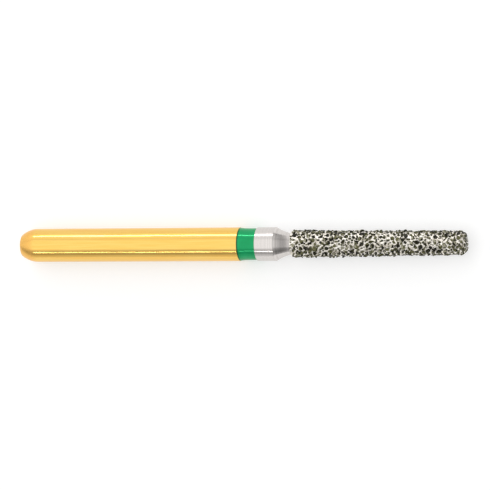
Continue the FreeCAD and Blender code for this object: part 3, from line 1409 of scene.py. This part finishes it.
@dataclass
class NickelBond:
    """The plated layer that holds the grains, ridged between them.

    Attributes:
        form: The bond's plain surface.
        core_back: Radius of the core that it wraps, where the coat starts.
        core_front: The same at the core's end.
        core_end: Station of the core's end.
        columns: Number of steps round the axis.
        pitch: Distance from one ring of points to the next.
        ridge: Height of the ridges between grains.
        ridge_width: Half the width of a ridge.
        ridge_sway: Mean share of that height that a ridge reaches, and how much the
            swells change it.
        moat: Depth of the hollow round each grain.
        moat_width: Width of that hollow.
        grip: Share of a grain's width at which the nickel meets it.
        neighbours: Number of the nearest grains that shape the nickel at a place.
        swell: Height of the slow swells in the plating.
        swell_width: Width of a swell.
        nodule_width: Width of a nodule.
        sink: How far the nickel between the grains lies below the plain surface.
        fade_rows: Number of rings over which the relief starts beside the neck.
        sharp_over: Edges that bend by more than this many degrees stay sharp.
    """

    form: HeadForm
    core_back: float
    core_front: float
    core_end: float
    columns: int = 200
    pitch: float = 0.0188 * MM
    ridge: float = 0.020 * MM
    ridge_width: float = 0.024 * MM
    ridge_sway: Range = (0.75, 0.7)
    moat: float = 0.010 * MM
    moat_width: float = 0.014 * MM
    grip: float = 0.42
    neighbours: int = 4
    swell: float = 0.006 * MM
    swell_width: float = 0.21 * MM
    nodule_width: float = 0.034 * MM
    sink: float = 0.014 * MM
    fade_rows: int = 3
    sharp_over: float = 75.0

    def height(self, spot: Spot, tree: KDTree, seats: Sequence[Spot]) -> float:
        """Work out how far the nickel stands over the plain surface.

        Args:
            spot: The place.
            tree: The search tree over the seats of the grains.
            seats: The seats of the grains.

        Returns:
            The height, which is negative in a hollow.
        """
        near = tree.find_n(spot.place, self.neighbours)
        gaps = sorted(gap - seats[index].width * self.grip for _, index, gap in near)
        between = (gaps[1] - gaps[0]) / 2
        crest = math.exp(-((between / self.ridge_width) ** 2))
        rim = math.exp(-((gaps[0] / self.moat_width) ** 2))
        swell = noise.noise(spot.place / self.swell_width)
        nodules = noise.noise(spot.place / self.nodule_width)
        mean, sway = self.ridge_sway
        height = self.ridge * crest * (mean + sway * swell) - self.moat * rim
        return height + self.swell * (nodules + swell) - self.sink

    def build(self, seats: Sequence[Spot], finish: Finish) -> bpy.types.Object:
        """Plate the layer round the seated grains and dress it.

        Args:
            seats: The seats of all the grains.
            finish: Its finish.

        Returns:
            The piece.
        """
        tree = plant(seats)
        columns = self.columns
        points: list[Sequence[float]] = [(self.core_end, 0.0, 0.0)]
        rings = [[0] * columns]
        for station, radius in (
            (self.core_end, self.core_front),
            (self.form.start, self.core_back),
        ):
            rings.append(list(range(len(points), len(points) + columns)))
            points.extend(ring(station, radius, columns))
        for row in range(int(self.form.length / self.pitch)):
            rings.append(list(range(len(points), len(points) + columns)))
            fade = min(1.0, row / self.fade_rows)
            for step in range(columns):
                angle = 2 * math.pi * (step + row % 2 / 2) / columns
                spot = self.form.spot(row * self.pitch, angle)
                points.append(spot.place + spot.normal * self.height(spot, tree, seats) * fade)
        rings.append([len(points)] * columns)
        points.append(self.form.spot(self.form.length, 0.0).place)
        piece = make_piece("plated_bond", points, join(rings), self.sharp_over)
        return seat(piece, "nickel_bond", finish)


@dataclass(frozen=True)
class StripLamp:
    """A strip lamp beside the bur, in line with it.

    Attributes:
        name: The lamp's name.
        roll: Its angle from straight up about the bur's axis, in degrees, + towards +Y.
        spread: The angle that its width covers, in degrees.
        level: How bright it looks.
    """

    name: str
    roll: float
    spread: float
    level: float = 6.5


@dataclass
class Studio:
    """The table, the light tent with its two strip lamps, and the camera.

    Attributes:
        table_level: Height of the table's top.
        table_radius: Radius of the table.
        table_steps: Number of corners of its rim.
        aim: Station on the bur's axis at the middle of the picture.
        lean: How far the camera leans towards the head, in degrees.
        distance: Camera's distance.
        lens: Focal length.
        sensor: Width of the sensor.
        clip: Least and greatest distance that the camera sees.
        roll: How far the camera is rolled, in degrees.
        drop: How far the middle of the picture lies below the axis.
        tent_level: How bright the tent is overhead.
        around: The tent's levels round the bur, by angle from straight up in degrees.
        along: Its levels along the bur, by the X part of the way there.
        strips: The strip lamps.
        strip_reach: Their distance from the bur.
        strip_ends: Where they end, as angles from straight across the bur.
    """

    table_level: float
    table_radius: float = 0.6
    table_steps: int = 96
    aim: float = 11.06 * MM
    lean: float = 16.3
    distance: float = 140 * MM
    lens: float = 219.3 * MM
    sensor: float = 36 * MM
    clip: Range = (0.014, 2.0)
    roll: float = 0.33
    drop: float = 0.038 * MM
    tent_level: float = 1.25
    around: Stops = (
        (-180, 0.65), (-95, 0.62), (-77, 0.62), (-70, 0.38), (-60, 0.38), (-50, 0.48),
        (-43, 0.50), (-36, 0.66), (-28, 1.0), (28, 1.0), (37, 0.88), (44, 0.80), (52, 0.95),
        (76, 0.98), (90, 0.80), (105, 0.85), (180, 0.65),
    )
    along: Stops = (
        (-1.0, 0.85), (-0.5, 1.0), (0.0, 1.0), (0.10, 0.82), (0.22, 0.60), (0.32, 0.44),
        (0.45, 0.40), (0.57, 0.50), (0.66, 0.62), (0.77, 0.78), (1.0, 0.80),
    )
    strips: tuple[StripLamp, ...] = (
        StripLamp("strip_far", 65.2, 5.0),
        StripLamp("strip_near", -51.5, 1.8),
    )
    strip_reach: float = 0.30
    strip_ends: Range = (-24.5, -4)

    def lay_table(self, finish: Finish) -> bpy.types.Object:
        """Lay the table top under the bur.

        Args:
            finish: Its finish.

        Returns:
            The table.
        """
        steps = self.table_steps
        rim = [(x, y, self.table_level) for _, x, y in ring(0.0, self.table_radius, steps)]
        table = make_piece("table_top", rim, [list(range(steps))])
        if table.data.polygons[0].normal.z < 0:
            table.data.flip_normals()
        table.data.materials.append(finish.material())
        LOG.info("%s laid at %.4f m", table.name, self.table_level)
        return table

    def light_tent(self) -> None:
        """Wrap the scene in a soft white tent, darker at its sides and round the camera."""
        world = bpy.data.worlds.new("light_tent")
        bpy.context.scene.world = world
        world.use_nodes = True
        board = Board(world.node_tree)
        parts = board.parts("Generated")
        roll = board.math("ARCTAN2", parts["Y"], parts["Z"])
        turned = board.step(roll, -math.pi, math.pi)
        around = board.ramp(turned, [((a + 180) / 360, (v, v, v, 1)) for a, v in self.around])
        tilt = board.step(parts["X"], -1.0, 1.0)
        along = board.ramp(tilt, [((x + 1) / 2, (v, v, v, 1)) for x, v in self.along])
        level = board.mix(1.0, around, along, "MULTIPLY")
        background = board.add("Background", {"Color": level, "Strength": self.tent_level})
        board.add("OutputWorld", {"Surface": background.outputs[0]})
        LOG.info("light tent %s hung", world.name)

    def hang(self, strip: StripLamp) -> bpy.types.Object:
        """Hang a strip lamp.

        Args:
            strip: The lamp's place and light.

        Returns:
            The lamp.
        """
        reach = self.strip_reach
        butt_side, head_side = (reach * math.tan(math.radians(a)) for a in self.strip_ends)
        lamp = bpy.data.lights.new(strip.name, "AREA")
        lamp.shape = "RECTANGLE"
        lamp.size = head_side - butt_side
        lamp.size_y = 2 * reach * math.tan(math.radians(strip.spread / 2))
        lamp.energy = strip.level * math.pi * lamp.size * lamp.size_y
        hung = add_object(strip.name, lamp)
        angle = math.radians(strip.roll)
        way = Vector((0.0, math.sin(angle), math.cos(angle)))
        across = Vector((0.0, math.cos(angle), -math.sin(angle)))
        along = Vector((1.0, 0.0, 0.0))
        turn = Matrix((along, across, along.cross(across))).transposed()
        place = way * reach + along * (self.aim + (butt_side + head_side) / 2)
        hung.matrix_world = Matrix.Translation(place) @ turn.to_4x4()
        LOG.info("strip lamp %s hung at %.1f degrees", strip.name, strip.roll)
        return hung

    def set_camera(self) -> bpy.types.Object:
        """Set the camera above the bur, as it stands in the photograph.

        Returns:
            The camera.
        """
        data = bpy.data.cameras.new("camera")
        data.sensor_width = self.sensor / MM
        data.lens = self.lens / MM
        data.clip_start, data.clip_end = self.clip
        camera = add_object("camera", data)
        lean = math.radians(self.lean)
        back = Vector((math.sin(lean), 0.0, math.cos(lean)))
        right = Vector((math.cos(lean), 0.0, -math.sin(lean)))
        turn = Matrix((right, Vector((0.0, 1.0, 0.0)), back)).transposed()
        place = Vector((self.aim, -self.drop, 0.0)) + back * self.distance
        roll = Matrix.Rotation(math.radians(-self.roll), 4, "Z")
        camera.matrix_world = Matrix.Translation(place) @ turn.to_4x4() @ roll
        bpy.context.scene.camera = camera
        LOG.info("camera set %.3f m away", self.distance)
        return camera


def main() -> None:
    """Build the studio and the bur, piece by piece."""
    logging.basicConfig(level=logging.INFO, format="%(name)s: %(message)s")
    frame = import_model()
    scene = bpy.context.scene
    scene.view_settings.view_transform = "Standard"

    band_low, band_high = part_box("colour_band")
    bond_low, bond_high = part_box("nickel_bond")
    shank_low, shank_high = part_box("gold_plating")
    blank_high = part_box("steel_blank")[1]

    studio = Studio(table_level=shank_low.z)
    studio.set_camera()
    studio.light_tent()
    for strip in studio.strips:
        studio.hang(strip)
    studio.lay_table(PaleTable())

    lathe = Lathe()
    blank = SteelBlank(
        shank_radius=shank_high.z,
        band_start=band_low.x,
        band_end=band_high.x,
        coat_start=bond_low.x,
        core_end=blank_high.x,
    )
    blank.build(lathe, TurnedSteel())
    GoldPlating(blank).build(lathe, PolishedGold(butt_end=blank.round_end()))
    ColourBand(blank).build(lathe, BandLacquer(start=band_low.x))

    form = HeadForm(start=bond_low.x, end=bond_high.x)
    grit = DiamondGrit(form)
    seats = grit.seats(frame["nodes"]["diamond_grit"])
    finer = grit.finer(seats, random.Random(grit.seed))
    LOG.info("%d grains of the frame and %d finer ones", len(seats), len(finer))
    NickelBond(form, blank.core_back, blank.core_front, blank.core_end).build(
        [*seats, *finer], PlatedNickel()
    )
    grit.build(seats, finer, DiamondCrystal())


if __name__ == "__main__":
    main()
